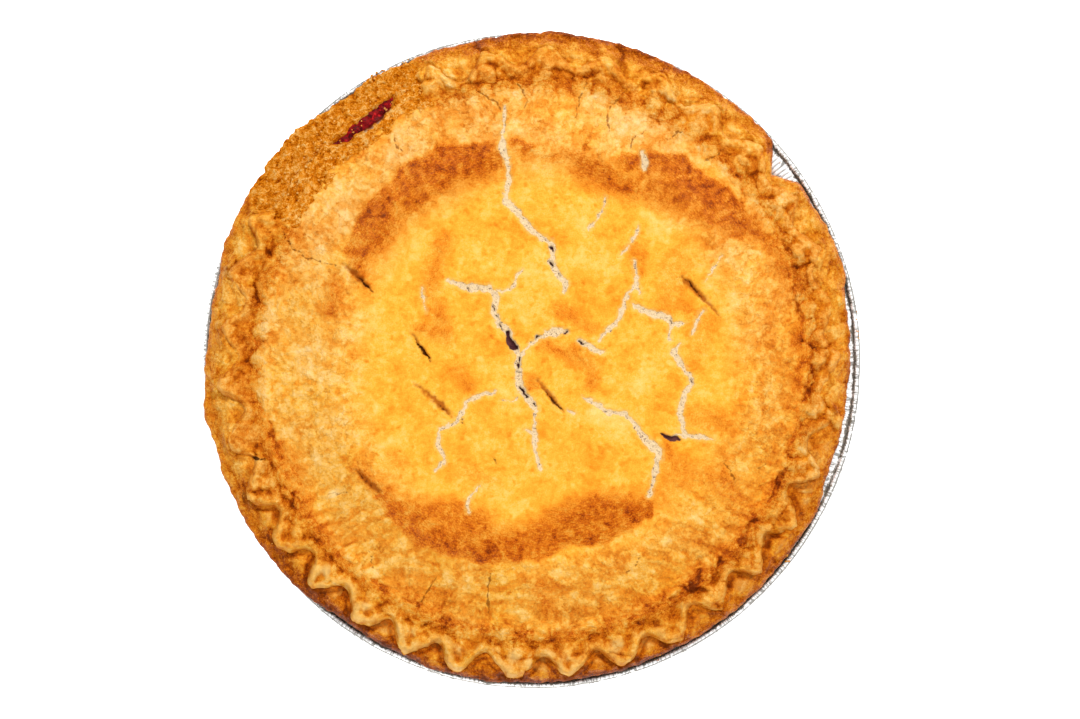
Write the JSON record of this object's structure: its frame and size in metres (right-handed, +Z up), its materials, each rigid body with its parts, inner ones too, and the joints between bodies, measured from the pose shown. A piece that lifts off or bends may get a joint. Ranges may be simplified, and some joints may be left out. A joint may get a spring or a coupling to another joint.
{
  "type": "cherry pie",
  "caption": "Whole baked pie with a crimped, cracked top crust over dark red fruit filling, in its own round foil pan.",
  "frame": {"origin": "centre of the foil pan's base, on the surface that it rests on", "axes": "+Z up, +X to the right and +Y away, as the pie is seen from above with the broken stretch of rim at the upper left"},
  "size_m": [0.2282, 0.2282, 0.0434],
  "materials": {
    "foil": "bright pressed foil with fine radial ribs",
    "bottom_pastry": "baked pastry, orange-brown and crumbly",
    "filling": "wet dark red fruit",
    "top_pastry": "baked pastry with an egg glaze, golden with browned patches"
  },
  "bodies": {
    "root": {"foil_pan": "foil", "bottom_crust": "bottom_pastry", "filling": "filling", "top_crust": "top_pastry"}
  },
  "joints": []
}
